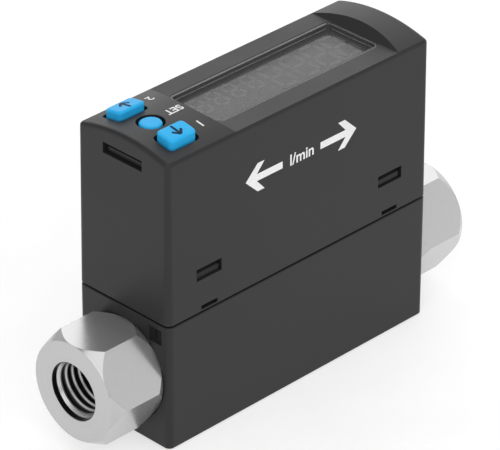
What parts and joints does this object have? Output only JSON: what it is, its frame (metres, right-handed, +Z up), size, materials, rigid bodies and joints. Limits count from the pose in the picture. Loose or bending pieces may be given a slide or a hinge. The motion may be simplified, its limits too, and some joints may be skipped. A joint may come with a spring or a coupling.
{
  "type": "flow sensor",
  "caption": "Slim in-line flow sensor with hexagonal threaded ports, a sunk display window and blue push buttons on top.",
  "frame": {"origin": "middle of the underside, on the body's two planes through its length and width", "axes": "+X along the flow passage towards the cable socket's end, -Y out of the printed front, +Z up"},
  "size_m": [0.0796, 0.02, 0.0532],
  "materials": {
    "housing": "fine moulded texture",
    "frame": "moulded",
    "button": "satin",
    "lens": "clear, polished",
    "display": "polished",
    "light_guide": "frosted",
    "black_plastic": "moulded",
    "switch_plunger": "moulded",
    "board": "solder mask",
    "chip": "moulded",
    "capacitor": "drawn can",
    "ferrite": "sintered",
    "fitting_steel": "turned",
    "screw_steel": "plated",
    "spring_steel": "rolled",
    "brass": "knurled",
    "seal": "matt",
    "flow_plastic": "moulded",
    "print": "pad printed"
  },
  "bodies": {
    "sensor": {"base_body": "housing", "upper_housing": "housing", "display_lens": "lens", "port_fitting_left": "fitting_steel", "port_fitting_right": "fitting_steel", "connector_shell": "black_plastic", "lcd_backlight": "light_guide", "lcd_panel": "display", "lcd_frame": "black_plastic", "display_board": "board", "display_board_screws": "screw_steel", "display_header": "black_plastic", "up_switch": "black_plastic", "set_switch": "black_plastic", "down_switch": "black_plastic", "inner_frame": "frame", "frame_screws": "screw_steel", "main_board": "board", "microcontroller": "black_plastic", "voltage_regulator": "black_plastic", "input_capacitor": "capacitor", "output_capacitor": "capacitor", "power_choke": "ferrite", "sensor_header": "black_plastic", "channel_gasket": "seal", "sensor_channel": "flow_plastic", "sensor_board": "board", "sensor_chip": "chip", "port_seal_left": "seal", "port_seal_right": "seal", "retaining_clip_left": "spring_steel", "retaining_clip_right": "spring_steel", "inlet_screen": "spring_steel", "outlet_screen": "spring_steel", "inlet_spacer": "flow_plastic", "outlet_spacer": "flow_plastic", "flow_straightener": "flow_plastic", "connector_pins": "brass", "housing_seal": "seal", "flow_arrow_print": "print", "thread_inserts": "brass"},
    "up_key": {"up_button": "button", "up_plunger": "switch_plunger"},
    "set_key": {"set_button": "button", "set_plunger": "switch_plunger"},
    "down_key": {"down_button": "button", "down_plunger": "switch_plunger"}
  },
  "joints": [
    {"name": "up_press", "type": "slide", "parent": "sensor", "child": "up_key", "axis": [0, 0, -1], "range_m": [0, 0.0004], "stiffness_N_per_m": 800, "springref_m": -0.0005},
    {"name": "set_press", "type": "slide", "parent": "sensor", "child": "set_key", "axis": [0, 0, -1], "range_m": [0, 0.0004], "stiffness_N_per_m": 800, "springref_m": -0.0005},
    {"name": "down_press", "type": "slide", "parent": "sensor", "child": "down_key", "axis": [0, 0, -1], "range_m": [0, 0.0004], "stiffness_N_per_m": 800, "springref_m": -0.0005}
  ]
}
